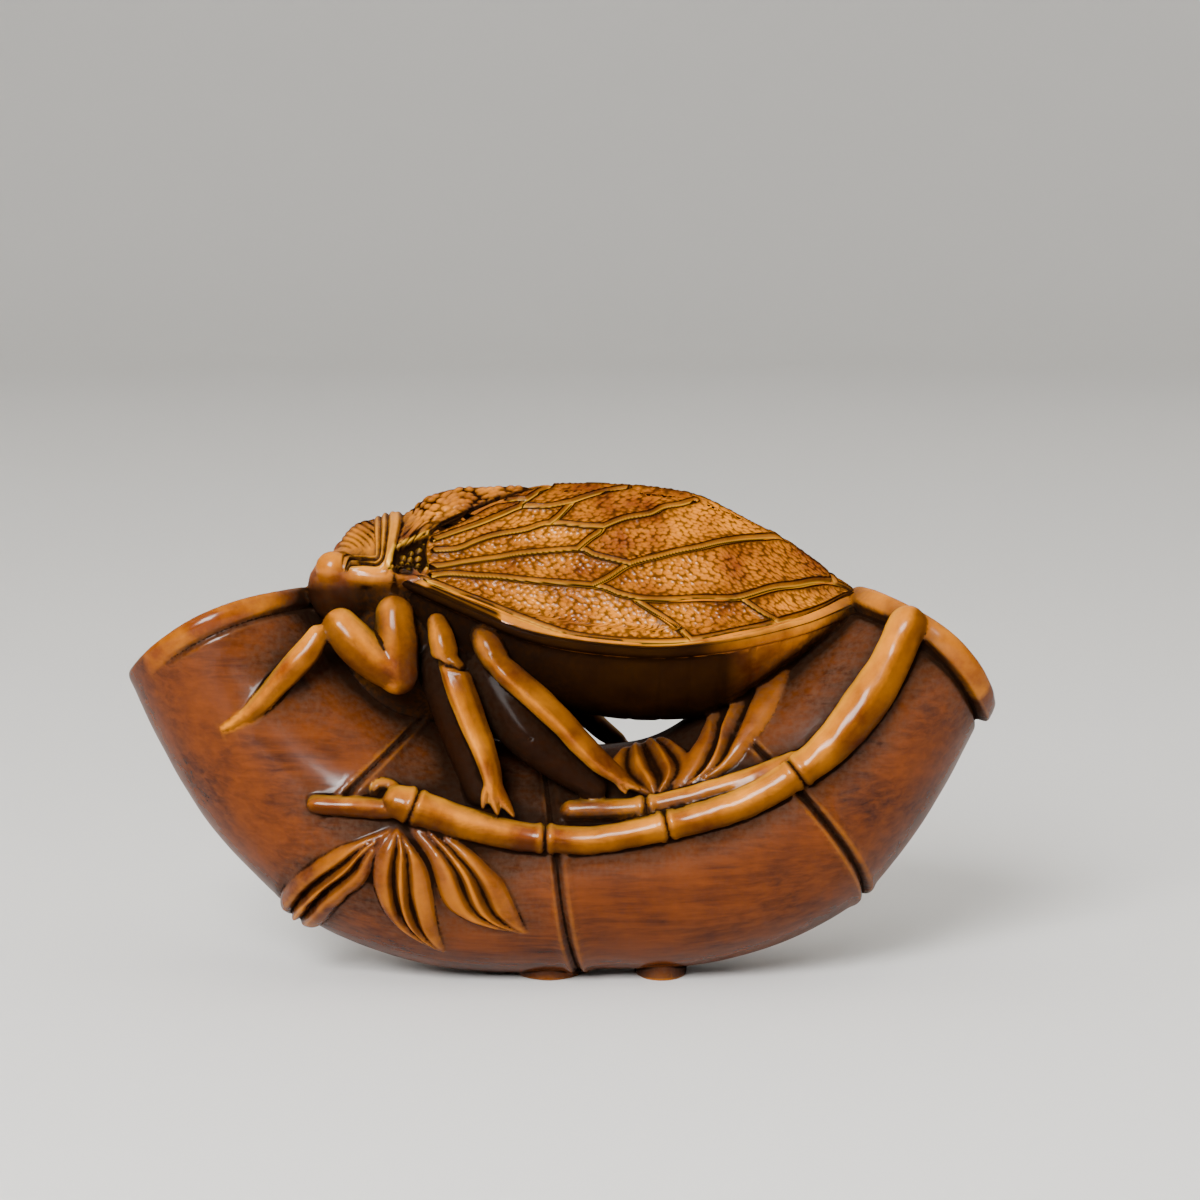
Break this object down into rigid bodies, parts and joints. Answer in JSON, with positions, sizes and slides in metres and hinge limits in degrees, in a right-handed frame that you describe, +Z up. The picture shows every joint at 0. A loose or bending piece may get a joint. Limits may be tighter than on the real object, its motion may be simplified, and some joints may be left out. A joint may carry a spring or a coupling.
{
  "type": "wooden cicada figurine",
  "caption": "Carved wooden cicada clinging on top of a short curved culm of bamboo with a leafy twig, one piece that stands on two small feet.",
  "frame": {"origin": "middle of the underside of the feet that the culm stands on, under the middle of the whole", "axes": "+X along the culm from the cicada's head to its wing tips, +Y away from the side with the three-leaved twig, +Z up"},
  "size_m": [0.0662, 0.0236, 0.0381],
  "materials": {
    "boxwood": "polished, stained dark in the recesses"
  },
  "bodies": {
    "root": {"cicada_on_bamboo": "boxwood"}
  },
  "joints": []
}
